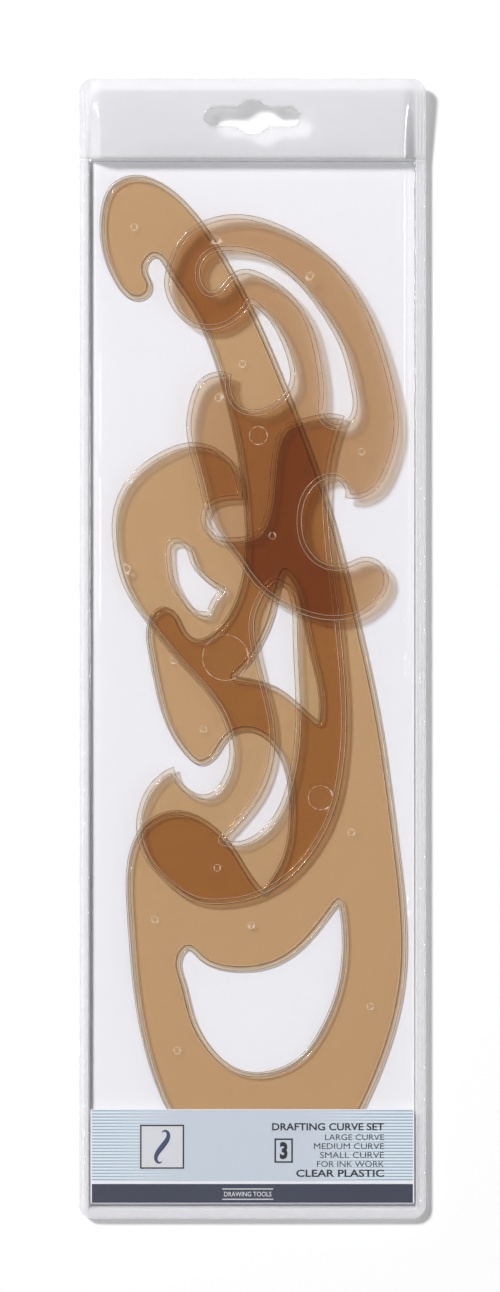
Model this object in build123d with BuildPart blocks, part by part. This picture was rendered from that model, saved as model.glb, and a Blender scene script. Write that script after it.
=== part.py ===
"""A set of three french curves in a clear hanging wallet, as it lies on a table.

The wallet lies on its back film with the header at +Y and its front up, so +Z points out of the
front. The origin is the centre of the wallet's outline on the surface that it lies on.
From the bottom up the pack holds: back film, insert card, large curve, small curve, medium curve
and front film. The card's foot is folded forward over the large curve to make the label.
"""

import os
from math import atan2, tan

from build123d import *

os.makedirs("parts", exist_ok=True)

# ---- driving dimensions, in millimetres ----

# each curve's length, tip to tip, as it lies
large_length = 337.0
medium_length = 136.5
small_length = 164.7

# the section that the three mouldings share
body_thickness = 1.5
lip_thickness = 0.7
lip_width = 1.5
mark_radius = 1.1
mark_depth = 0.2
badge_depth = 0.2

# where the curves lie on the card: x from its centre line, y from its folded foot
large_foot = 8.7
medium_place = (9.7, 264.1)
small_place = (-7.8, 183.3)

# the sheets and the air between layers
film_thickness = 0.2
card_thickness = 0.3
layer_gap = 0.1
side_room = 2.7
top_room = 4.4
label_height = 32.0

# the wallet round the card
weld_width = 3.2
wall_run = 0.4
card_play = 0.3
foot_play = 1.1
header_length = 27.8
mouth_gap = 0.4
shoulder_room = 1.3
film_settle = 6.0
film_bow = 0.2
corner_radius = 4.8

# the hanging slot
slot_length = 32.0
slot_height = 6.0
slot_centre_height = 11.3
slot_centre_top = 3.4
slot_centre_base = 11.4
slot_from_top = 13.0

# ---- outlines, drawn about each curve's own datum ----
# Every curve is a list of smooth runs that meet at corners. A run is a list of points, in order.

large_drawn = 337.0
large_outline = [
    [
        (3.3, 97.3), (-0.9, 102.5), (-6.8, 111.9), (-14.2, 119.4), (-23.6, 123.5), (-32.7, 121.8),
        (-39.4, 114.9), (-42.1, 105.8), (-42.1, 88.4), (-39.0, 56.4), (-33.0, 32.9), (-23.3, 14.4),
        (-10.8, 3.7), (3.3, 0.0), (17.7, 3.4), (31.2, 14.1), (40.9, 31.2), (47.3, 48.7),
        (51.0, 66.5), (51.3, 88.4), (48.3, 116.3), (42.8, 154.9), (34.9, 191.5), (24.4, 231.2),
        (12.7, 262.8), (-0.7, 293.7), (-12.5, 314.8), (-24.3, 329.8), (-32.7, 335.5), (-39.4, 337.0),
        (-47.1, 334.0), (-51.0, 324.6), (-50.5, 311.8), (-46.1, 300.7), (-39.7, 295.0), (-35.3, 296.4),
        (-34.0, 300.4), (-35.7, 306.4), (-33.2, 309.5), (-29.0, 305.1), (-20.9, 292.7), (-13.8, 276.9),
        (-8.1, 257.4), (-4.1, 236.2), (-2.5, 214.4), (-3.8, 200.9), (-7.5, 190.8), (-13.2, 183.5),
        (-18.9, 181.3), (-22.6, 184.1), (-26.3, 190.5), (-30.6, 192.0), (-34.8, 187.8), (-34.8, 175.7),
        (-29.6, 153.9), (-22.9, 142.6), (-17.5, 138.9), (-12.7, 141.5), (-7.8, 148.2), (-1.4, 150.2),
        (6.0, 146.0), (10.7, 137.1), (12.3, 123.6), (9.7, 107.2), (3.3, 97.3),
    ]
]
large_windows = [
    [
        [(10.9, 203.3), (8.9, 197.0), (7.3, 190.0), (4.0, 181.5), (-0.6, 174.0), (-5.8, 168.7)],
        [(-5.8, 168.7), (0.9, 167.5), (8.3, 165.0), (15.1, 159.9), (21.9, 153.9)],
        [(21.9, 153.9), (22.3, 160.6), (19.8, 173.7), (16.7, 188.5), (13.7, 199.9), (10.9, 203.3)],
    ],
    [
        [
            (28.8, 92.4), (23.5, 85.3), (17.1, 78.0), (8.6, 72.1), (-2.4, 69.6), (-13.5, 71.1),
            (-18.9, 74.6), (-21.9, 76.8), (-23.6, 74.9), (-22.9, 66.9), (-19.4, 53.8), (-12.5, 42.5),
            (-3.9, 36.5), (6.0, 36.2), (16.1, 41.3), (23.1, 51.1), (27.7, 62.2), (30.0, 76.6),
            (28.8, 92.4),
        ]
    ],
]
large_marks = [
    (-39.7, 319.5), (-3.4, 273.5), (-26.6, 174.0), (-16.5, 150.9), (33.2, 116.3), (-32.7, 87.0),
    (-0.4, 85.0), (39.6, 57.8), (-25.3, 43.0),
]

medium_drawn = 136.5
medium_outline = [
    [
        (21.3, -26.8), (25.5, -27.2), (31.2, -24.7), (36.5, -16.1), (39.3, -4.0), (38.0, 8.7),
        (34.3, 22.8), (26.5, 40.8), (16.0, 54.1), (2.0, 63.6), (-11.4, 68.0), (-22.8, 67.2),
        (-32.6, 61.6), (-37.8, 52.6), (-39.3, 44.7), (-36.3, 36.4), (-29.9, 30.6), (-21.2, 29.6),
        (-13.8, 33.7), (-10.2, 38.3),
    ],
    [
        (-10.2, 38.3), (-5.9, 34.8), (-0.7, 26.9), (2.5, 17.8), (2.9, 13.1), (1.0, 8.4),
        (-3.0, 4.5), (-8.4, 2.7), (-13.8, 4.0), (-16.5, 8.4), (-16.7, 14.4),
    ],
    [
        (-16.7, 14.4), (-22.5, 15.3), (-27.2, 12.8), (-30.8, 5.4), (-31.8, -5.0), (-30.2, -12.8),
        (-27.2, -24.2), (-24.2, -34.9), (-16.7, -45.4), (-8.1, -57.0), (2.4, -64.2), (13.8, -67.9),
        (23.9, -67.4), (32.3, -62.2), (36.0, -54.8), (33.6, -48.7), (27.7, -46.7), (20.8, -49.1),
        (14.1, -48.4), (8.7, -42.7), (7.1, -33.6), (9.2, -25.7), (13.8, -21.3), (18.5, -20.8),
        (21.2, -23.5), (21.3, -26.8),
    ],
]
medium_slot = [
    (-24.6, 42.8), (-26.5, 45.4), (-26.9, 50.4), (-24.5, 54.3), (-16.5, 55.9), (-7.1, 54.1),
    (2.4, 48.0), (12.6, 36.0), (20.0, 22.8), (23.4, 9.4), (23.2, 1.0), (19.5, -2.2),
    (15.1, -0.7), (14.2, 6.0), (13.3, 18.1), (9.4, 32.6), (2.0, 42.7), (-5.7, 48.0),
    (-13.8, 49.7), (-18.5, 46.4), (-21.8, 43.0),
]
medium_marks = [(-21.8, 59.8), (9.7, 47.7), (-21.2, 6.7), (26.9, -11.4), (-3.0, -39.6)]
medium_badges = [((-7.7, -6.0), 3.0)]

small_drawn = 164.7
small_outline = [
    [
        (38.8, 81.3), (32.3, 82.2), (24.9, 80.6), (19.2, 78.6), (15.1, 71.2), (13.8, 61.5),
        (12.3, 49.4), (8.4, 42.2), (2.0, 40.7), (-5.0, 41.7), (-7.9, 46.4), (-6.7, 50.7),
        (-2.4, 52.8), (4.4, 53.1),
    ],
    [
        (4.4, 53.1), (3.4, 61.5), (0.3, 66.9), (-5.2, 71.0), (-12.6, 72.6), (-20.8, 70.4),
        (-29.0, 65.4), (-35.8, 57.8), (-39.2, 47.7), (-39.0, 37.6), (-35.4, 24.0), (-26.3, 10.1),
        (-15.5, -3.0), (-5.4, -14.6), (-0.2, -27.6), (-2.0, -40.0), (-7.7, -45.6), (-13.6, -43.8),
        (-18.5, -36.3),
    ],
    [
        (-18.5, -36.3), (-24.2, -39.6), (-29.6, -47.7), (-31.2, -57.1), (-28.6, -66.5), (-21.7, -74.9),
        (-11.9, -81.5), (-2.0, -82.5), (10.3, -79.8), (19.8, -74.1), (29.2, -63.5), (35.3, -51.1),
        (38.3, -37.6), (39.5, -20.8), (38.5, -0.7), (36.0, 22.8), (33.6, 43.0), (33.4, 58.1),
        (35.6, 71.9), (38.8, 81.3),
    ],
]
small_windows = [
    [
        [
            (-7.5, 15.8), (-11.3, 16.5), (-15.1, 20.6), (-18.5, 27.0), (-19.4, 33.6), (-18.5, 38.6),
            (-16.5, 38.5), (-12.8, 31.9), (-8.7, 26.7), (-3.0, 23.2),
        ],
        [(-3.0, 23.2), (-5.5, 20.2), (-7.5, 15.8)],
    ],
    [
        [
            (-1.7, -60.8), (3.9, -61.2), (9.9, -58.3), (15.2, -52.3), (19.8, -40.3), (22.0, -25.9),
            (22.2, -12.4), (21.4, 6.0), (20.8, 18.5), (18.6, 24.0), (16.1, 25.5), (11.4, 20.8),
            (8.6, 12.8), (9.6, 2.0), (12.4, -9.4), (15.0, -20.8), (15.1, -32.6), (11.8, -43.7),
            (6.7, -51.6), (-1.7, -60.8),
        ]
    ],
]
small_marks = [(-34.3, 30.2), (-4.0, -70.2)]
small_badges = [((-1.3, 0.3), 7.6), ((30.6, -46.7), 4.0)]


def scaled(points, ratio):
    """The same points, drawn larger or smaller about the datum."""
    return [(x * ratio, y * ratio) for x, y in points]


def bounded_face(runs, ratio):
    """The face inside a closed chain of smooth runs that meet at corners."""
    with BuildSketch() as face:
        with BuildLine():
            for run in runs:
                Spline(*scaled(run, ratio))
        make_face()
    return face.sketch


def smooth_face(points, ratio):
    """The face inside one smooth closed curve with no corner."""
    with BuildSketch() as face:
        with BuildLine():
            Spline(*scaled(points, ratio), periodic=True)
        make_face()
    return face.sketch


# ---- the three curves ----
# Each is one moulding: a flat body, and a thinner lip at mid thickness round its outline and round
# every window, which keeps ink from running under the edge.

large_ratio = large_length / large_drawn
medium_ratio = medium_length / medium_drawn
small_ratio = small_length / small_drawn

with BuildSketch() as large_plate:
    add(bounded_face(large_outline, large_ratio))
    for window in large_windows:
        add(bounded_face(window, large_ratio), mode=Mode.SUBTRACT)

with BuildSketch() as medium_plate:
    add(bounded_face(medium_outline, medium_ratio))
    add(smooth_face(medium_slot, medium_ratio), mode=Mode.SUBTRACT)

with BuildSketch() as small_plate:
    add(bounded_face(small_outline, small_ratio))
    for window in small_windows:
        add(bounded_face(window, small_ratio), mode=Mode.SUBTRACT)



def reach(box, x):
    """How far a curve with its datum at x comes from the card's centre line."""
    return max(box.max.X + x, -box.min.X - x)


# the card and the wallet follow the reach of the curves
large_box = large_plate.sketch.bounding_box()
medium_box = medium_plate.sketch.bounding_box()
small_box = small_plate.sketch.bounding_box()
upper_reach = max(reach(medium_box, medium_place[0]), reach(small_box, small_place[0]))
curves_reach = max(reach(large_box, 0), upper_reach)
curves_top = max(
    large_box.max.Y + large_foot,
    medium_box.max.Y + medium_place[1],
    small_box.max.Y + small_place[1],
)
card_width = 2 * (curves_reach + side_room)
card_length = curves_top + top_room
pocket_width = card_width + 2 * (card_play + wall_run)
wallet_width = pocket_width + 2 * weld_width
wallet_length = weld_width + foot_play + wall_run + card_length + header_length
wallet_foot = -wallet_length / 2
card_foot = wallet_foot + weld_width + foot_play + wall_run
card_top = card_foot + card_length
label_top = card_foot + label_height

# heights of the layers above the table
card_base = film_thickness + layer_gap
large_base = card_base + card_thickness + layer_gap
small_base = large_base + body_thickness + layer_gap
medium_base = small_base + body_thickness + layer_gap
label_base = large_base + body_thickness + layer_gap
label_face = label_base + card_thickness
weld_height = label_face + layer_gap


def moulded(plate, place, marks, badges, ratio):
    """One curve: its lipped body, with small round ejector marks and blank badges sunk in its face."""
    x, y, base = place
    face = base + body_thickness
    with BuildSketch() as core:
        add(plate)
        offset(amount=-lip_width)
    with BuildPart() as curve:
        with BuildSketch(Plane((x, y, base + (body_thickness - lip_thickness) / 2))):
            add(plate)
        extrude(amount=lip_thickness)
        with BuildSketch(Plane((x, y, base))):
            add(core.sketch.to_splines())
        extrude(amount=body_thickness)
        with BuildSketch(Plane((x, y, face))):
            with Locations(*scaled(marks, ratio)):
                Circle(mark_radius)
        extrude(amount=-mark_depth, mode=Mode.SUBTRACT)
        for centre, radius in badges:
            with BuildSketch(Plane((x, y, face))):
                with Locations(*scaled([centre], ratio)):
                    Circle(radius)
            extrude(amount=-badge_depth, mode=Mode.SUBTRACT)
    return curve.part


with BuildPart() as large_curve:
    add(moulded(large_plate.sketch, (0, card_foot + large_foot, large_base), large_marks, [], large_ratio))
large_curve.part.label = "large_curve"

with BuildPart() as small_curve:
    add(
        moulded(
            small_plate.sketch,
            (small_place[0], card_foot + small_place[1], small_base),
            small_marks,
            small_badges,
            small_ratio,
        )
    )
small_curve.part.label = "small_curve"

with BuildPart() as medium_curve:
    add(
        moulded(
            medium_plate.sketch,
            (medium_place[0], card_foot + medium_place[1], medium_base),
            medium_marks,
            medium_badges,
            medium_ratio,
        )
    )
medium_curve.part.label = "medium_curve"

# ---- the insert card ----
# One strip of white card under all three curves. Its foot turns up and forward in a round fold and
# lies over the large curve's base as the printed label.

fold_middle = (card_base + label_face) / 2
fold_start = card_foot + (label_face - card_base) / 2
with BuildPart() as insert_card:
    with BuildSketch(Plane.YZ.offset(-card_width / 2)):
        with BuildLine():
            Polyline((fold_start, card_base), (card_top, card_base), (card_top, card_base + card_thickness))
            Line((card_top, card_base + card_thickness), (fold_start, card_base + card_thickness))
            ThreePointArc(
                (fold_start, card_base + card_thickness),
                (card_foot + card_thickness, fold_middle),
                (fold_start, label_base),
            )
            Polyline((fold_start, label_base), (label_top, label_base), (label_top, label_face))
            Line((label_top, label_face), (fold_start, label_face))
            ThreePointArc((fold_start, label_face), (card_foot, fold_middle), (fold_start, card_base))
        make_face()
    extrude(amount=card_width)
insert_card.part.label = "insert_card"

# ---- the wallet ----
# Clear film, welded along both sides and the foot. The front film stands over the stack of curves
# and comes down to the weld; the back film is a shallow tray, open at its top, where the card and
# the curves slide in and out under the header. A second film backs the header.

header_top = wallet_length / 2
mouth = card_top + mouth_gap
header_foot = mouth + mouth_gap
weld_foot = wallet_foot + weld_width
medium_foot = card_foot + medium_place[1] + medium_box.min.Y
small_foot = card_foot + small_place[1] + small_box.min.Y
shoulder_reach = upper_reach + shoulder_room
crown = medium_base + body_thickness + 2 * layer_gap + film_thickness
step = small_base + body_thickness + 2 * layer_gap
slot_middle = header_top - slot_from_top


def across(*half):
    """A line of (x, height) points mirrored about x = 0, from its left end to its right end."""
    return [(-x, z) for x, z in reversed(half)] + list(half)


def front_line(level, seam):
    """Underside of the front film: at level over the curves, and down its shoulders to the weld."""
    return across((shoulder_reach, level), (pocket_width / 2, seam), (wallet_width / 2, seam))


def film_section(y, line, thickness):
    """The closed section at y of a film with one face along a line, and the other thickness above."""
    slopes = [atan2(b[1] - a[1], b[0] - a[0]) for a, b in zip(line, line[1:])]
    leans = [tan((before + after) / 2) for before, after in zip([0.0] + slopes, slopes + [0.0])]
    other = [(x - thickness * lean, z + thickness) for (x, z), lean in zip(line, leans)]
    with BuildSketch(Plane.XZ.offset(-y)) as section:
        with BuildLine():
            Polyline(*line, *reversed(other), close=True)
        make_face()
    return section.sketch


def film(stretches, thickness):
    """One sheet of film through its sections, cut to the wallet's rounded outline."""
    with BuildPart() as sheet:
        for y, line in stretches:
            add(film_section(y, line, thickness))
        loft(ruled=True)
        with BuildSketch():
            RectangleRounded(wallet_width, wallet_length, corner_radius)
        extrude(amount=2 * crown, mode=Mode.INTERSECT)
    return sheet.part


with BuildSketch(Plane((0, slot_middle, 0))) as hanging_slot:
    SlotOverall(slot_length, slot_height)
    with BuildLine():
        Polyline(
            (-slot_centre_base / 2, -slot_height / 2),
            (-slot_centre_top / 2, -slot_centre_height / 2),
            (slot_centre_top / 2, -slot_centre_height / 2),
            (slot_centre_base / 2, -slot_height / 2),
            (slot_centre_base / 2, slot_height / 2),
            (slot_centre_top / 2, slot_centre_height / 2),
            (-slot_centre_top / 2, slot_centre_height / 2),
            (-slot_centre_base / 2, slot_height / 2),
            close=True,
        )
    make_face()

header_lines = [
    (header_top, front_line(crown, crown - film_bow)),
    (header_foot, front_line(crown, weld_height)),
]
foot_line = front_line(weld_height + film_bow, weld_height)
pocket_lines = [
    (medium_foot, front_line(crown, weld_height)),
    (small_foot, front_line(step, weld_height)),
    (label_top + film_settle, foot_line),
    (wallet_foot, foot_line),
]
floor_reach = card_width / 2 + card_play
tray_line = across(
    (floor_reach, film_thickness),
    (pocket_width / 2, weld_height),
    (wallet_width / 2, weld_height),
)
tray_lines = [
    (mouth, tray_line),
    (card_foot - card_play, tray_line),
    (weld_foot, foot_line),
    (wallet_foot, foot_line),
]

with BuildPart() as front_film:
    add(film(header_lines + pocket_lines, film_thickness))
    add(hanging_slot.sketch)
    extrude(amount=2 * crown, mode=Mode.SUBTRACT)
front_film.part.label = "front_film"

with BuildPart() as header_backing:
    add(film(header_lines, -film_thickness))
    add(hanging_slot.sketch)
    extrude(amount=2 * crown, mode=Mode.SUBTRACT)
header_backing.part.label = "header_backing"

with BuildPart() as back_film:
    add(film(tray_lines, -film_thickness))
back_film.part.label = "back_film"

for piece in (back_film, insert_card, large_curve, small_curve, medium_curve, header_backing, front_film):
    export_step(piece.part, f"parts/{piece.part.label}.step")
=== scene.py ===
"""The looks of a set of three french curves in a clear hanging wallet, lying on a pale table."""

import math

import bmesh
import bpy
import numpy as np
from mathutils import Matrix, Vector, geometry


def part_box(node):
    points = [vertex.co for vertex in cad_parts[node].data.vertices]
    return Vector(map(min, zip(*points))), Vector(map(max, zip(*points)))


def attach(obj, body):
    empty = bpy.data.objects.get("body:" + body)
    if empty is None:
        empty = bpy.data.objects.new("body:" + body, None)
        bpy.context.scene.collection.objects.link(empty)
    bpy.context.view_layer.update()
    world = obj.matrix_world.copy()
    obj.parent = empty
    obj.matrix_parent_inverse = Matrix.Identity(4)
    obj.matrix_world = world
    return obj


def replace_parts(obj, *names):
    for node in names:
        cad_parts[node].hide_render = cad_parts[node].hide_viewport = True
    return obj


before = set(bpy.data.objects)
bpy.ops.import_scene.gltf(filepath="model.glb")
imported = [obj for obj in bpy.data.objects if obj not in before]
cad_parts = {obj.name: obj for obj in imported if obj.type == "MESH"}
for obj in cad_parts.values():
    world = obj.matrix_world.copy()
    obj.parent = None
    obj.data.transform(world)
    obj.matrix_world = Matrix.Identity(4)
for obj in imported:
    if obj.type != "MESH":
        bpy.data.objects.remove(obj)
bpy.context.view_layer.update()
scene = bpy.context.scene
mm = 0.001

# ---- the table, the camera and the lamps ----
# A pale table top, seen from straight above through a long lens. One broad lamp stands to the upper
# left and throws the short shadows, and a weaker one stands opposite. Two small lamps, left and
# right, put glints on the bends of the film and on the curves' edges.

view_height = 434.1 * mm
view_centre = Vector((-0.8 * mm, 0.9 * mm, 0.0))
camera_distance = 3.0


class Wire:
    """A socket in a material's nodes, on which sums and products add the nodes that work them out."""

    def __init__(self, tree, socket=None):
        self.tree = tree
        self.socket = socket

    def node(self, kind, settings, sockets, output=0):
        """Adds a node, gives it its settings, then sets or joins its sockets. Returns one output."""
        made = self.tree.nodes.new(kind)
        for name, value in settings.items():
            setattr(made, name, value)
        for place, value in sockets.items():
            if isinstance(value, Wire):
                self.tree.links.new(value.socket, made.inputs[place])
            else:
                made.inputs[place].default_value = value
        return Wire(self.tree, made.outputs[output])

    def maths(self, operation, *values):
        return self.node("ShaderNodeMath", {"operation": operation}, dict(enumerate(values)))

    def __add__(self, other):
        return self.maths("ADD", self, other)

    def __sub__(self, other):
        return self.maths("SUBTRACT", self, other)

    def __rsub__(self, other):
        return self.maths("SUBTRACT", other, self)

    def __mul__(self, other):
        return self.maths("MULTIPLY", self, other)

    def __pow__(self, other):
        return self.maths("POWER", self, other)

    __radd__ = __add__
    __rmul__ = __mul__

    def along(self, axis):
        """One coordinate of a place or a direction."""
        return self.node("ShaderNodeSeparateXYZ", {}, {0: self}, output=axis)

    def rise(self, low, high):
        """0 below low and 1 above high, with a smooth climb between them."""
        return self.node(
            "ShaderNodeMapRange",
            {"interpolation_type": "SMOOTHSTEP"},
            {"Value": self, "From Min": low, "From Max": high},
        )

    def between(self, low, high, soft):
        """1 from low to high and 0 outside, over a soft edge."""
        return self.rise(low - soft, low + soft) * (1 - self.rise(high - soft, high + soft))

    def tint(self, off, on):
        """The colour off where this is 0, and on where it is 1. Either may be worked out by nodes."""
        return self.node(
            "ShaderNodeMix", {"data_type": "RGBA"}, {0: self, 6: off, 7: on}, output=2
        )


def new_material(name):
    """A material with nothing in its nodes but the output, and a Wire to add more to."""
    material = bpy.data.materials.new(name)
    material.use_nodes = True
    material.node_tree.nodes.clear()
    return material, Wire(material.node_tree)


def finish_material(material, surface, volume=None):
    """Joins the surface, and the volume if there is one, to the material's output."""
    sockets = {"Surface": surface}
    if volume:
        sockets["Volume"] = volume
    tree = material.node_tree
    out = tree.nodes.new("ShaderNodeOutputMaterial")
    for place, wire in sockets.items():
        tree.links.new(wire.socket, out.inputs[place])
    return material


def mesh_piece(name, points, faces, material, smooth=True):
    """A new object at the origin, from points in metres and faces that index them."""
    mesh = bpy.data.meshes.new(name)
    mesh.from_pydata(points, [], faces)
    mesh.materials.append(material)
    if smooth:
        mesh.shade_smooth()
    piece = bpy.data.objects.new(name, mesh)
    scene.collection.objects.link(piece)
    return piece


table_material, wire = new_material("table_top")
spot = wire.node("ShaderNodeTexCoord", {}, {}, output="Object")
grain = wire.node("ShaderNodeTexNoise", {}, {"Vector": spot, "Scale": 900.0, "Detail": 2.0})
table_colour = grain.tint((0.93, 0.93, 0.93, 1.0), (0.95, 0.95, 0.95, 1.0))
finish_material(
    table_material,
    wire.node("ShaderNodeBsdfPrincipled", {}, {"Base Color": table_colour, "Roughness": 0.85}),
)
table_reach = 6.0
corners = [(-1, -1), (1, -1), (1, 1), (-1, 1)]
table = mesh_piece(
    "table",
    [(table_reach * x, table_reach * y, -0.05 * mm) for x, y in corners],
    [(0, 1, 2, 3)],
    table_material,
)

camera = bpy.data.objects.new("camera", bpy.data.cameras.new("camera"))
camera.location = view_centre + Vector((0.0, 0.0, camera_distance))
camera.data.sensor_width = 36.0
camera.data.lens = camera.data.sensor_width * camera_distance / view_height
camera.data.clip_end = 20.0
scene.collection.objects.link(camera)
scene.camera = camera


def soft_lamp(name, place, size, power):
    """A square area lamp that faces the middle of the object."""
    lamp = bpy.data.lights.new(name, "AREA")
    lamp.size = size
    lamp.energy = power
    holder = bpy.data.objects.new(name, lamp)
    holder.location = place
    holder.rotation_euler = (-Vector(place)).to_track_quat("-Z", "Y").to_euler()
    scene.collection.objects.link(holder)


soft_lamp("window_lamp", (-3.3, 3.0, 4.35), 1.2, 700.0)
soft_lamp("fill_lamp", (2.6, -1.2, 1.7), 1.6, 22.0)
soft_lamp("left_glint", (-3.0, 0.1, 3.0), 0.25, 17.0)
soft_lamp("right_glint", (3.0, 0.3, 3.1), 0.25, 16.0)

# The room is dark overhead and light round the horizon, so that flat film shows no veil.
world = bpy.data.worlds.new("room")
world.use_nodes = True
world.node_tree.nodes.clear()
scene.world = world
wire = Wire(world.node_tree)
direction = wire.node("ShaderNodeTexCoord", {}, {}, output="Generated")
glow = (1 - direction.along("Z").rise(0.05, 0.9)) * 0.17 + 0.02
background = wire.node(
    "ShaderNodeBackground", {}, {"Color": (0.97, 0.98, 1.0, 1.0), "Strength": glow}
)
out = world.node_tree.nodes.new("ShaderNodeOutputWorld")
world.node_tree.links.new(background.socket, out.inputs["Surface"])

scene.view_settings.view_transform = "Standard"
scene.view_settings.exposure = -0.5
scene.cycles.transparent_max_bounces = 48

# ---- the three curves ----
# Each is one transparent moulding, tinted right through, so that it is paler at its thin lip and
# darker where one lies over another. Every edge of the moulding is slightly rounded.

edge_drop = 0.3 * mm
edge_reach = 0.5 * mm
mark_reach = 0.28 * mm
mark_depth = 0.2 * mm
lip_inset = 0.4 * mm
sharp_turn = math.radians(25)
crisp_edge = math.radians(45)
longest_run = 0.8 * mm
plastic_depth = 1.5 * mm

# The shares of red, green and blue that come through plastic_depth. The medium curve is deeper in
# tint than the other two.
plastic_passes = (0.868, 0.718, 0.535)
medium_passes = (0.838, 0.67, 0.495)


def absorption(passes, depth):
    """(colour, density) of a volume that lets these shares of red, green and blue through depth.

    A channel loses 1 - colour times the density, and the greatest loss is 0.9 of the density."""
    losses = [-math.log(share) / depth for share in passes]
    density = max(losses) / 0.9
    return (*(1 - loss / density for loss in losses), 1.0), density


def glossy_share(wire, head_on):
    """The share of light that a clear surface mirrors: head_on from the front, all of it edge on.

    Between them it is head_on, plus the rest times the fifth power of how edge on it is seen."""
    facing = wire.node("ShaderNodeLayerWeight", {}, {"Blend": 0.5}, output="Facing")
    return head_on + (1 - head_on) * facing**5


def tinted_plastic(name, passes):
    """A clear plastic of one tint, with painted shade on its steep walls and a painted highlight
    where they begin.
    """
    material, wire = new_material(name)
    spot = wire.node("ShaderNodeTexCoord", {}, {}, output="Object")
    normal = wire.node("ShaderNodeTexCoord", {}, {}, output="Normal")
    level = wire.maths("ABSOLUTE", normal.along("Z"))
    # Painted shade: the steep walls take a dark see-through colour. Painted highlight: a pale band
    # where the walls begin.
    painted_steep_shade = 1 - level.rise(0.72, 0.985)
    painted_highlight_band = level.rise(0.90, 0.96) * (1 - level.rise(0.975, 0.995))
    ripple = wire.node("ShaderNodeTexNoise", {}, {"Vector": spot, "Scale": 120.0, "Detail": 1.0})
    bumped = wire.node(
        "ShaderNodeBump", {}, {"Height": ripple, "Strength": 0.05, "Distance": 0.1 * mm}
    )
    clear = wire.node("ShaderNodeBsdfTransparent", {}, {"Color": (0.985, 0.985, 0.985, 1.0)})
    # The dark brown see-through colour is painted shade, and the pale diffuse colour is a painted
    # highlight.
    painted_edge_shade = wire.node("ShaderNodeBsdfTransparent", {}, {"Color": (0.26, 0.17, 0.11, 1.0)})
    pale = wire.node("ShaderNodeBsdfDiffuse", {}, {"Color": (1.0, 0.90, 0.76, 1.0)})
    through = wire.node("ShaderNodeMixShader", {}, {0: painted_steep_shade * 0.8, 1: clear, 2: painted_edge_shade})
    through = wire.node("ShaderNodeMixShader", {}, {0: painted_highlight_band * 0.45, 1: through, 2: pale})
    gloss = wire.node(
        "ShaderNodeBsdfGlossy",
        {},
        {"Color": (1.0, 0.98, 0.95, 1.0), "Roughness": 0.08, "Normal": bumped},
    )
    surface = wire.node(
        "ShaderNodeMixShader", {}, {0: glossy_share(wire, 0.035), 1: through, 2: gloss}
    )
    colour, density = absorption(passes, plastic_depth)
    body = wire.node("ShaderNodeVolumeAbsorption", {}, {"Color": colour, "Density": density})
    return finish_material(material, surface, body)


tint = tinted_plastic("tinted_plastic", plastic_passes)
medium_tint = tinted_plastic("medium_plastic", medium_passes)


def smoothed(ring):
    """A ring with each long run halved, and halved again, at points on the arc that it stands for.

    A middle point is the mean of the run's ends, moved out by an eighth of the run's length times
    the difference of the directions at its ends. At a corner the direction is the run's own."""
    for _ in range(3):
        run = np.roll(ring, -1, 0) - ring
        length = np.linalg.norm(run, axis=1, keepdims=True)
        ahead = run / length
        behind, length_behind = np.roll(ahead, 1, 0), np.roll(length, 1, 0)
        through = behind * length + ahead * length_behind
        through /= np.linalg.norm(through, axis=1, keepdims=True)
        corner = np.sum(ahead * behind, 1, keepdims=True) < math.cos(sharp_turn)
        leaving = np.where(corner, ahead, through)
        arriving = np.roll(np.where(corner, behind, through), -1, 0)
        middle = ring + run / 2 + length / 8 * (leaving - arriving)
        long = np.flatnonzero(length[:, 0] > longest_run)
        ring = np.insert(ring, long + 1, middle[long], axis=0)
    return ring


def rings_at(shape, level, wall_above):
    """The closed rings, as arrays of (x, y), along which a flat at this height meets a wall."""
    near = 0.01 * mm
    joined = {}
    for edge in shape.edges:
        at_level = all(abs(vert.co.z - level) < near for vert in edge.verts)
        if not at_level or not any(abs(face.normal.z) > 0.9 for face in edge.link_faces):
            continue
        for face in edge.link_faces:
            rise = face.calc_center_median().z - level
            if abs(rise) > 0.1 * near and (rise > 0) == wall_above:
                one, two = edge.verts
                joined.setdefault(one, []).append(two)
                joined.setdefault(two, []).append(one)
    rings = []
    while joined:
        start = next(iter(joined))
        ring, before, here = [], None, start
        while here in joined:
            ring.append(here.co.xy[:])
            onward = [vert for vert in joined.pop(here) if vert is not before]
            before, here = here, onward[0]
        rings.append(smoothed(np.array(ring)))
    return rings


def turned(rings, outward):
    """The rings with the largest one anticlockwise and the rest clockwise, or the reverse."""
    def area(ring):
        x, y = ring.T
        return 0.5 * np.sum(x * np.roll(y, -1) - y * np.roll(x, -1))

    largest = max(rings, key=lambda ring: abs(area(ring)))
    return [
        ring if (area(ring) > 0) == (outward and ring is largest) else ring[::-1] for ring in rings
    ]


def inset(ring, depth):
    """A ring moved to its left by depth: each point goes along the mean of its edges' normals."""
    along = np.roll(ring, -1, 0) - ring
    along /= np.linalg.norm(along, axis=1, keepdims=True)
    after = np.stack((-along[:, 1], along[:, 0]), 1)
    before = np.roll(after, 1, 0)
    spread = 1 + np.sum(after * before, 1, keepdims=True)
    return ring + depth * (after + before) / np.maximum(spread, 0.6)


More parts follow.
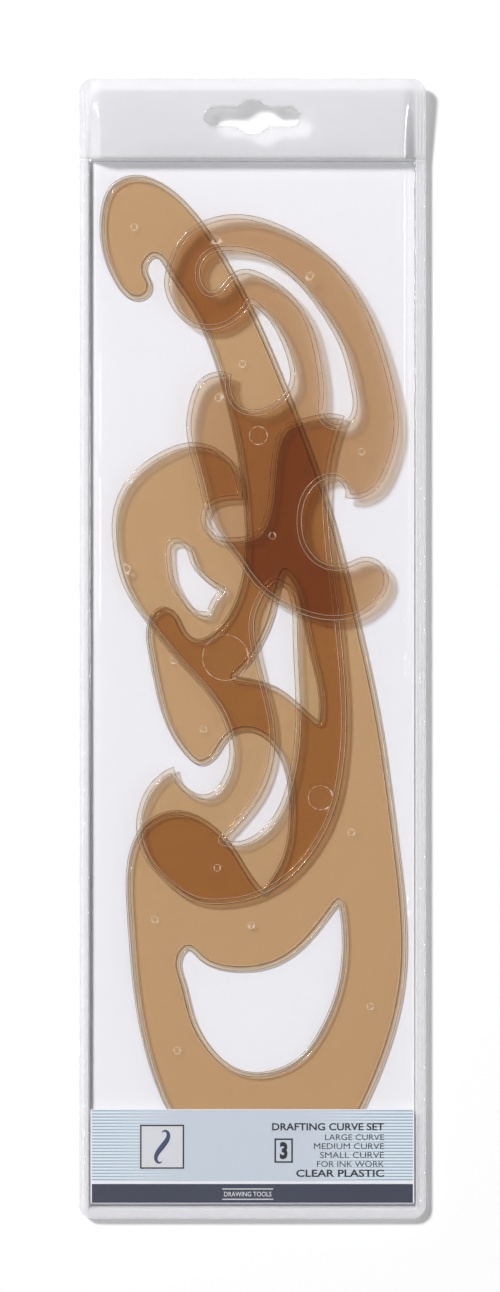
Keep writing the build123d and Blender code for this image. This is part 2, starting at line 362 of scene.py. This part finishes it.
def flat_between(rings, level, facing_up):
    """(points, triangles) of the flat face at a height that lies inside an odd number of rings."""
    points = np.concatenate(rings)
    ends = np.cumsum([len(ring) for ring in rings])
    edges = []
    for first, end in zip([0, *ends[:-1]], ends):
        edges += [(i, i + 1 if i + 1 < end else int(first)) for i in range(int(first), int(end))]
    made = geometry.delaunay_2d_cdt([Vector(p) for p in points], edges, [], 0, 1e-9)
    flat = np.array([tuple(p) for p in made[0]])
    triangles = np.array(made[2])
    middle = flat[triangles].mean(1)
    inside = np.zeros(len(middle), bool)
    for ring in rings:
        x0, y0 = ring.T
        x1, y1 = np.roll(ring, -1, 0).T
        for part in range(0, len(middle), 2000):
            x, y = middle[part : part + 2000].T[:, :, None]
            crosses = (y0 > y) != (y1 > y)
            with np.errstate(divide="ignore", invalid="ignore"):
                reach = x0 + (y - y0) * (x1 - x0) / (y1 - y0)
            inside[part : part + 2000] ^= (np.sum(crosses & (x < reach), 1) % 2).astype(bool)
    triangles = triangles[inside]
    if not facing_up:
        triangles = triangles[:, ::-1]
    return np.column_stack((flat, np.full(len(flat), level))), triangles


def wall_down(ring, steps):
    """(points, quads) of a wall down a ring, whose steps are (inset, height) from its top."""
    levels = [np.column_stack((inset(ring, depth), np.full(len(ring), z))) for depth, z in steps]
    count = len(ring)
    here = np.arange(count)
    there = np.roll(here, -1)
    quads = [
        np.column_stack((here, here + count, there + count, there)) + count * row
        for row in range(len(steps) - 1)
    ]
    return np.concatenate(levels), np.concatenate(quads)


def rounding(edge, rising):
    """Steps (inset, height) of a quarter ellipse below a top edge, or one above a bottom edge."""
    angles = np.radians([0, 25, 50, 70, 90])
    steps = [
        (edge_reach * (1 - math.sin(a)), edge - edge_drop * (1 - math.cos(a))) for a in angles
    ]
    return steps if not rising else [(depth, 2 * edge - z) for depth, z in reversed(steps)]


def joined(parts):
    """(points, faces) of several meshes in one, each one's faces counted on from the last one's."""
    points, faces, count = [], [], 0
    for some_points, some_faces in parts:
        points.append(some_points)
        faces += [[int(i) + count for i in face] for face in some_faces]
        count += len(some_points)
    return np.concatenate(points), faces


def moulding(node, material):
    """A french curve with its edges rounded, on the outlines of its CAD node."""
    shape = bmesh.new()
    shape.from_mesh(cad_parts[node].data)
    bmesh.ops.remove_doubles(shape, verts=shape.verts, dist=0.001 * mm)
    base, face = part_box(node)[0].z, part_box(node)[1].z
    lip_low, lip_high = base + lip_inset, face - lip_inset
    outlines = turned(rings_at(shape, lip_high, False), True)
    bodies = turned(rings_at(shape, base, True), True)
    marks = turned(rings_at(shape, face - mark_depth, True), False)
    shape.free()
    parts = []
    for ring in bodies:
        parts.append(wall_down(ring, [*rounding(face, False), (0.0, lip_high)]))
        parts.append(wall_down(ring, [(0.0, lip_low), *rounding(base, True)]))
    for ring in outlines:
        parts.append(wall_down(ring, rounding(lip_high, False) + rounding(lip_low, True)))
    for ring in marks:
        parts.append(wall_down(ring, [(mark_reach, face), (0.0, face - mark_depth)]))
        parts.append(flat_between([ring], face - mark_depth, True))
    narrowed = [inset(ring, edge_reach) for ring in bodies]
    trimmed = [inset(ring, edge_reach) for ring in outlines]
    opened = [inset(ring, mark_reach) for ring in marks]
    parts.append(flat_between(narrowed + opened, face, True))
    parts.append(flat_between(narrowed, base, False))
    parts.append(flat_between(trimmed + bodies, lip_high, True))
    parts.append(flat_between(trimmed + bodies, lip_low, False))
    piece = mesh_piece(node + "_moulding", *joined(parts), material)
    merged = bmesh.new()
    merged.from_mesh(piece.data)
    bmesh.ops.remove_doubles(merged, verts=merged.verts, dist=0.0005 * mm)
    merged.to_mesh(piece.data)
    merged.free()
    piece.data.set_sharp_from_angle(angle=crisp_edge)
    piece.modifiers.new("even_shading", "WEIGHTED_NORMAL").keep_sharp = True
    return piece


for body_name, plastic in (("large", tint), ("small", tint), ("medium", medium_tint)):
    node = body_name + "_curve"
    piece = moulding(node, plastic)
    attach(piece, body_name)
    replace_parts(piece, node)

# ---- the insert card ----
# White card under all three curves. Its foot is folded forward to make the printed label: fine
# stripes that fade towards the middle, a white line, and a dark band along the fold.

label_height = 32.0 * mm
card_low, card_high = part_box("insert_card")
label_foot, label_top = card_low.y, card_low.y + label_height
stripe_pitch = 1.05 * mm

printed_card, wire = new_material("printed_card")
spot = wire.node("ShaderNodeTexCoord", {}, {}, output="Object")
x, y, z = (spot.along(axis) for axis in "XYZ")
fibre = wire.node("ShaderNodeTexNoise", {}, {"Vector": spot, "Scale": 2500.0, "Detail": 3.0})
cloud = wire.node("ShaderNodeTexNoise", {}, {"Vector": spot, "Scale": 18.0, "Detail": 1.0})
white = fibre.tint((0.90, 0.90, 0.93, 1.0), (0.94, 0.94, 0.97, 1.0))
stripes = wire.maths("SINE", y * (2 * math.pi / stripe_pitch)).rise(-0.2, 0.8)
fade = 1 - x.rise(-52 * mm, -22 * mm) * (1 - x.rise(14 * mm, 48 * mm))
ground = fade.tint((0.62, 0.68, 0.76, 1.0), (0.80, 0.90, 0.96, 1.0))
lined = (stripes * fade).tint(ground, (0.36, 0.43, 0.53, 1.0))
printed = y.between(label_foot + 7.8 * mm, label_top - 0.25 * mm, 0.05 * mm)
band = y.between(label_foot + 0.6 * mm, label_foot + 6.9 * mm, 0.05 * mm)
on_label = z.rise(card_high.z - 0.2 * mm, card_high.z - 0.1 * mm)
side_room = 1 - wire.maths("ABSOLUTE", x).rise(card_high.x - 0.5 * mm, card_high.x - 0.4 * mm)
label = (printed * side_room).tint(white, lined)
mottle = cloud.tint((0.046, 0.051, 0.082, 1.0), (0.066, 0.073, 0.112, 1.0))
label = (band * side_room).tint(label, mottle)
card_colour = on_label.tint(white, label)
relief = wire.node("ShaderNodeBump", {}, {"Height": fibre, "Strength": 0.1, "Distance": 0.02 * mm})
finish_material(
    printed_card,
    wire.node(
        "ShaderNodeBsdfPrincipled",
        {},
        {"Base Color": card_colour, "Roughness": 0.55, "Normal": relief},
    ),
)
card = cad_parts["insert_card"]
card.data.materials.clear()
card.data.materials.append(printed_card)

# ---- the dark print on the label ----
# Plain words, the number of pieces in a box, and the frame of a square badge. All the print lies on
# the label as thin layers of ink.

ink_depth = 0.012 * mm
ink_place = card_high.z - 0.002 * mm
number_line = 0.55 * mm
badge_line = 0.5 * mm
bold = 0.022


def flat_ink(name, colour):
    """A plain printing ink, a little uneven."""
    material, wire = new_material(name)
    spot = wire.node("ShaderNodeTexCoord", {}, {}, output="Object")
    speckle = wire.node("ShaderNodeTexNoise", {}, {"Vector": spot, "Scale": 1500.0})
    paler = tuple(0.85 * part + 0.04 for part in colour)
    shade = speckle.tint((*colour, 1.0), (*paler, 1.0))
    return finish_material(
        material,
        wire.node("ShaderNodeBsdfPrincipled", {}, {"Base Color": shade, "Roughness": 0.45}),
    )


dark_ink = flat_ink("dark_ink", (0.012, 0.013, 0.018))


def words(text, left, right, low, high, weight):
    """(points, faces) of a line of capitals on the label, with strokes heavier by weight.

    Each point's share of the letters' own box is spread over the box given."""
    curve = bpy.data.curves.new("words", "FONT")
    curve.body = text
    curve.extrude = 0.5
    curve.offset = weight
    curve.resolution_u = 3
    holder = bpy.data.objects.new("words", curve)
    mesh = bpy.data.meshes.new_from_object(holder)
    points = np.array([tuple(vert.co) for vert in mesh.vertices])
    faces = [tuple(face.vertices) for face in mesh.polygons]
    low_corner, high_corner = points.min(0), points.max(0)
    share = (points - low_corner) / (high_corner - low_corner)
    size = np.array([right - left, high - low, ink_depth])
    bpy.data.objects.remove(holder)
    bpy.data.curves.remove(curve)
    return share * size + np.array([left, low, ink_place]), faces


def prism(ring, low, high):
    """(points, faces) of an upright prism on a ring of (x, y), from one height to another."""
    count = len(ring)
    foot = np.column_stack((ring, np.full(count, low)))
    head = np.column_stack((ring, np.full(count, high)))
    around = [(i, (i + 1) % count, count + (i + 1) % count, count + i) for i in range(count)]
    ends = [tuple(range(count))[::-1], tuple(range(count, 2 * count))]
    return np.concatenate((foot, head)), ends + around


def plate(ring, depth=ink_depth):
    """(points, faces) of a flat layer of ink inside a ring of (x, y)."""
    return prism(ring, ink_place, ink_place + depth)


def rectangle(left, right, low, high):
    """A ring of four corners."""
    return np.array([(left, low), (right, low), (right, high), (left, high)])


def framed(left, right, low, high, line):
    """The four bars of a rectangular frame."""
    return [
        plate(rectangle(left, right, low, low + line)),
        plate(rectangle(left, right, high - line, high)),
        plate(rectangle(left, left + line, low + line, high - line)),
        plate(rectangle(right - line, right, low + line, high - line)),
    ]


def ink_piece(name, parts, material):
    """Joins parts of ink into one piece that lies on the label."""
    piece = mesh_piece(name, *joined(parts), material, smooth=False)
    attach(piece, "card")
    return piece


# Each line: its words, its width, how far its middle is below the label's top, its height, all in
# millimetres, and its weight.
words_right = 44.2 * mm
lines = [
    ("DRAFTING CURVE SET", 37.6, 5.9, 2.5, bold),
    ("LARGE CURVE", 19.8, 9.4, 2.0, 0.0),
    ("MEDIUM CURVE", 23.5, 12.4, 2.0, 0.0),
    ("SMALL CURVE", 21.5, 15.4, 2.0, 0.0),
    ("FOR INK WORK", 22.5, 18.4, 2.0, 0.0),
    ("CLEAR PLASTIC", 29.5, 21.5, 2.5, bold),
]
dark_parts = []
for text, width, below, height, weight in lines:
    middle = label_top - below * mm
    dark_parts.append(
        words(
            text,
            words_right - width * mm,
            words_right,
            middle - height / 2 * mm,
            middle + height / 2 * mm,
            weight,
        )
    )
number_left, number_right = 7.4 * mm, 13.6 * mm
number_low, number_high = label_top - 18.0 * mm, label_top - 9.8 * mm
number_room = 1.2 * mm
dark_parts += framed(number_left, number_right, number_low, number_high, number_line)
dark_parts.append(
    words(
        "3",
        number_left + 1.5 * number_room,
        number_right - 1.5 * number_room,
        number_low + number_room,
        number_high - number_room,
        weight=0.05,
    )
)
badge_x, badge_y = -30.3 * mm, label_top - 12.6 * mm
badge_half = 7.4 * mm
badge_sides = (
    badge_x - badge_half,
    badge_x + badge_half,
    badge_y - badge_half,
    badge_y + badge_half,
)
dark_parts += framed(*badge_sides, badge_line)
ink_piece("label_words", dark_parts, dark_ink)

# ---- the white print on the label ----
# The badge's white ground, and plain words between two bars on the dark band. It is printed on the
# card in thin white ink.

white_ink = flat_ink("white_ink", (0.78, 0.79, 0.82))
inner = badge_half - badge_line
badge_ground = rectangle(badge_x - inner, badge_x + inner, badge_y - inner, badge_y + inner)
band_left, band_right = -10.1 * mm, 7.0 * mm
band_low, band_high = label_foot + 1.6 * mm, label_foot + 5.4 * mm
bar = 0.35 * mm
white_parts = [
    plate(badge_ground),
    plate(rectangle(band_left, band_right, band_low, band_low + bar)),
    plate(rectangle(band_left, band_right, band_high - bar, band_high)),
    words(
        "DRAWING TOOLS",
        band_left + 0.6 * mm,
        band_right - 0.6 * mm,
        band_low + 1.1 * mm,
        band_high - 1.1 * mm,
        weight=0.01,
    ),
]
ink_piece("label_white", white_parts, white_ink)

# ---- the badge's curve ----
# A small drawing of a curve, in blue ink a little thicker than the rest, so that it lies above the
# badge's white ground.

blue_ink = flat_ink("blue_ink", (0.05, 0.07, 0.16))


def drawn_curve(x, y, size, line):
    """A ring round a ribbon shaped like a stretched S, widest at its middle.

    Its heading grows with the cube of the distance from the middle, so both ends curl."""
    share = np.linspace(-1.0, 1.0, 90)
    heading = 3.6 * share * np.abs(share) * share + 0.9
    steps = np.column_stack((np.cos(heading), np.sin(heading)))
    path = np.cumsum(steps, 0)
    path = (path - (path.max(0) + path.min(0)) / 2) / np.ptp(path, axis=0).max() * size
    side = np.column_stack((-steps[:, 1], steps[:, 0])) * line * (1.15 - share[:, None] ** 2)
    return np.concatenate((path - side, (path + side)[::-1])) + np.array([x, y])


curve_ring = drawn_curve(badge_x, badge_y, 1.45 * badge_half, 0.75 * mm)
ink_piece("label_curve", [plate(curve_ring, 2.5 * ink_depth)], blue_ink)

# ---- the wallet's front sheet ----
# Clear film from the foot to the top of the header. It lies over the curves with a few soft creases,
# and comes down to a weld, pressed with fine lines and slightly frosted. The slot goes through it.

film_low, film_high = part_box("front_film")
back_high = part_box("back_film")[1]
header_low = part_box("header_backing")[0]
film_thick = 0.2 * mm
film_gap = 0.01 * mm
weld_width = 3.2 * mm
weld_soft = 0.1 * mm
weld_pitch = 0.9 * mm
weld_lines = (0.6 * mm, 1.7 * mm, 2.9 * mm)
line_width = 0.16 * mm
line_height = 0.10 * mm
corner = 4.8 * mm
slot_below_top = 13.0 * mm
row_pitch = 2.0 * mm
half_width = film_high.x
pocket_half = half_width - weld_width
shoulder = 50.4 * mm
soft_side = 8.0 * mm
seam = 2.7 * mm
crown = film_high.z - film_thick
crease_width = 0.9 * mm
swell_height = 0.10 * mm

# The heights of the front film's underside over the label, over two curves and over all three, and
# how far up the wallet each one is reached.
over_label, over_two = 2.9 * mm, 4.0 * mm
label_end, two_from, three_from = -148.0 * mm, -86.0 * mm, 9.0 * mm

# Each crease: where its middle is, its slant, its half length and its height, in millimetres.
crease_list = [
    (50.8, -88.0, 0.80, 2.8, 0.45),
    (48.6, -83.0, 0.70, 2.2, 0.40),
    (50.4, -126.0, 0.75, 2.8, 0.45),
    (50.2, -141.0, 0.80, 2.0, 0.40),
    (50.2, 11.0, 0.80, 2.4, 0.45),
    (50.4, -7.0, 0.70, 2.6, 0.45),
    (-51.0, 61.0, 0.60, 4.0, 0.50),
    (-49.0, -93.0, 0.85, 2.6, 0.42),
    (47.6, 97.0, 0.80, 2.2, 0.40),
    (-48.5, 131.0, 0.80, 2.2, 0.40),
]


def film_material(name, weld_haze, haze_all, painted_header_shade):
    """Clear film with a hazy pressed weld, and a band of painted grey shade on the header just above
    the card's top edge.
    """
    material, wire = new_material(name)
    spot = wire.node("ShaderNodeTexCoord", {}, {}, output="Object")
    x, y = spot.along("X"), spot.along("Y")
    side = wire.maths("ABSOLUTE", x)
    side_weld = side.rise(pocket_half - weld_soft, pocket_half + weld_soft)
    foot = film_low.y + weld_width
    foot_weld = 1 - y.rise(foot - weld_soft, foot + weld_soft)
    weld = wire.maths("MAXIMUM", side_weld, foot_weld)
    knurl = wire.maths("SINE", (x + y) * (2 * math.pi / weld_pitch))
    cross = wire.maths("SINE", (x - y) * (2 * math.pi / weld_pitch))
    pressed = wire.node(
        "ShaderNodeBump",
        {},
        {"Height": knurl * cross * weld, "Strength": 0.35, "Distance": 0.05 * mm},
    )
    clear = wire.node("ShaderNodeBsdfTransparent", {}, {"Color": (0.977, 0.976, 0.979, 1.0)})
    painted_grey_shade = wire.node("ShaderNodeBsdfTransparent", {}, {"Color": (0.80, 0.80, 0.81, 1.0)})
    haze = wire.node(
        "ShaderNodeBsdfDiffuse", {}, {"Color": (0.95, 0.95, 0.97, 1.0), "Normal": pressed}
    )
    # Painted shade: a grey band on the header just above the card's top edge, fading upward and
    # towards the sides.
    bend = y.rise(header_low.y - 0.4 * mm, header_low.y)
    bend = bend * (1 - y.rise(header_low.y, header_low.y + 9 * mm))
    bend = bend * (1 - side.rise(0.5 * pocket_half, 0.9 * pocket_half))
    shaded = wire.node("ShaderNodeMixShader", {}, {0: bend * painted_header_shade, 1: clear, 2: painted_grey_shade})
    header = y.rise(header_low.y, header_low.y + 1 * mm)
    cloudy = wire.maths("MAXIMUM", weld, header * 0.9)
    misted = wire.node(
        "ShaderNodeMixShader", {}, {0: cloudy * weld_haze + haze_all, 1: shaded, 2: haze}
    )
    gloss = wire.node(
        "ShaderNodeBsdfGlossy",
        {},
        {"Color": (1.0, 1.0, 1.0, 1.0), "Roughness": 0.07, "Normal": pressed},
    )
    surface = wire.node(
        "ShaderNodeMixShader", {}, {0: glossy_share(wire, 0.03), 1: misted, 2: gloss}
    )
    return finish_material(material, surface)


clear_film = film_material("clear_film", 0.22, 0.006, 0.15)


def eased(value, low, high):
    """0 below low, 1 above high, and half a cosine wave between."""
    return 0.5 - 0.5 * np.cos(np.pi * np.clip((value - low) / (high - low), 0.0, 1.0))


def draped(x, y):
    """Height of the front film's underside, which is the sum of four things.

    It runs level over the stack, in steps up its length, and eases down its shoulders to the weld.
    A slow swell is the product of two sine waves and fades towards the shoulders. Each crease is a
    bell curve across its slanting line, and so is each pressed line of the weld."""
    level = np.interp(
        y,
        [film_low.y, label_end, two_from, three_from, film_high.y],
        [over_label, over_label, over_two, crown, crown],
    )
    edge = np.interp(y, [film_low.y, header_low.y, film_high.y], [seam, seam, crown - film_thick])
    side = np.abs(x)
    height = level + (edge - level) * eased(side, shoulder, pocket_half)
    loose = (1 - eased(side, shoulder - soft_side, pocket_half)) * eased(level, over_label, over_two)
    swell = np.sin(x / (19 * mm) + 1.3 * np.sin(y / (41 * mm))) * np.sin(y / (27 * mm) + 0.6)
    height = height + loose * swell_height * swell
    creased = 1 - eased(side, shoulder + 1.5 * mm, pocket_half)
    for x0, y0, slant, length, tall in crease_list:
        along = (y - y0 * mm) / (length * mm)
        across = (x - x0 * mm - slant * (y - y0 * mm)) / crease_width
        height = height + creased * tall * mm * np.exp(-(across**2) - along**4)
    inward = np.minimum(half_width - side, y - film_low.y)
    for place in weld_lines:
        height = height + line_height * np.exp(-(((inward - place) / line_width) ** 2))
    return height


def film_piece(name, material, low_y, high_y, height, rounded_low, rounded_high):
    """A sheet of film on a grid that is finest at the weld and the shoulders.

    Each row is drawn in to the rounded corners' width at its own place."""
    fine_from = shoulder - 8.4 * mm
    in_weld = np.linspace(0.0, weld_width, 24) - half_width
    down = np.linspace(weld_width, half_width - shoulder, 16)[1:] - half_width
    near_shoulder = np.linspace(fine_from, shoulder, 28)
    middle = np.linspace(-fine_from, fine_from, 68)[1:-1]
    middle = np.concatenate((-near_shoulder[::-1], middle, near_shoulder))[1:-1]
    columns = np.concatenate((in_weld, down, middle, -down[::-1], -in_weld[::-1]))
    ends = corner * (1 - np.cos(np.linspace(0.0, math.pi / 2, 14)))
    first = ends if rounded_low else ends[:1]
    last = ends[::-1] if rounded_high else ends[:1]
    count = int((high_y - low_y) / row_pitch)
    body = np.linspace(low_y + first[-1], high_y - last[0], count)
    rows = np.concatenate((low_y + first[:-1], body, high_y - last[1:]))
    bend = np.zeros(len(rows))
    if rounded_low:
        bend = np.maximum(bend, corner - (rows - low_y))
    if rounded_high:
        bend = np.maximum(bend, corner - (high_y - rows))
    reach = half_width - corner + np.sqrt(corner**2 - bend**2)
    x, y = np.meshgrid(columns, rows)
    x = x * (reach / half_width)[:, None]
    points = np.column_stack((x.ravel(), y.ravel(), height(x, y).ravel()))
    wide = len(columns)
    here = (np.arange(len(rows) - 1)[:, None] * wide + np.arange(wide - 1)).ravel()
    quads = np.column_stack((here, here + 1, here + wide + 1, here + wide))
    piece = mesh_piece(name, points, quads.tolist(), material)
    wall = piece.modifiers.new("thickness", "SOLIDIFY")
    wall.thickness = film_thick
    wall.offset = 1.0
    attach(piece, "wallet")
    return piece


def slot_ring():
    """The outline of the hanging slot: a bar with round ends, whose middle swells to a flat peak."""
    half_bar, half_height, half_peak = 16.0, 3.0, 5.65
    peak_flat, peak_foot = 1.7, 5.7
    peak_steps = [peak_flat, peak_foot, peak_foot + 0.01]
    x = np.linspace(-half_bar, half_bar, 129)
    past = np.maximum(np.abs(x) - (half_bar - half_height), 0.0)
    bar = np.sqrt(np.maximum(half_height**2 - past**2, 0.0))
    peak = np.interp(np.abs(x), peak_steps, [half_peak, half_height, 0.0])
    y = np.maximum(bar, peak)
    ring = np.column_stack((np.concatenate((x, x[-2:0:-1])), np.concatenate((-y, y[-2:0:-1]))))
    return ring * mm + np.array([0.0, film_high.y - slot_below_top])


def cut(piece, cutter):
    """Cuts the cutter's shape out of a piece, with the thickness made solid first."""
    hole = piece.modifiers.new("slot", "BOOLEAN")
    hole.object = cutter
    hole.solver = "EXACT"
    bpy.context.view_layer.update()
    graph = bpy.context.evaluated_depsgraph_get()
    made = bpy.data.meshes.new_from_object(piece.evaluated_get(graph), depsgraph=graph)
    piece.modifiers.clear()
    piece.data = made
    return piece


cutter = mesh_piece(
    "slot_cutter", *prism(slot_ring(), 0.0, 2 * film_high.z), clear_film, smooth=False
)
front = film_piece("front_sheet", clear_film, film_low.y, film_high.y, draped, True, True)
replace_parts(cut(front, cutter), "front_film")

# ---- the header's second sheet ----
# Milkier film close behind the front sheet, from the card's top edge up. The same slot goes
# through it.

milky_film = film_material("milky_film", 0.0, 0.31, 0.0)


def behind_header(x, y):
    """Height of the header's second film, which lies just below the front one."""
    return draped(x, y) - film_thick - film_gap


backing = film_piece(
    "header_sheet", milky_film, header_low.y, film_high.y, behind_header, False, True
)
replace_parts(cut(backing, cutter), "header_backing")
bpy.data.objects.remove(cutter)

# ---- the wallet's back sheet ----
# A shallow tray of the same milky film under the card. It is welded to the front sheet along both
# sides and the foot, and ends at the pocket's mouth.


def tray(x, y):
    """Height of the back film's underside: flat on the table, then up to the weld at three edges."""
    side = eased(np.abs(x), pocket_half - 0.4 * mm, pocket_half)
    foot = 1 - eased(y, film_low.y + weld_width, film_low.y + weld_width + 1.0 * mm)
    return (seam - film_thick) * np.maximum(side, foot)


back = film_piece("back_sheet", milky_film, film_low.y, back_high.y, tray, True, False)
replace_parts(back, "back_film")
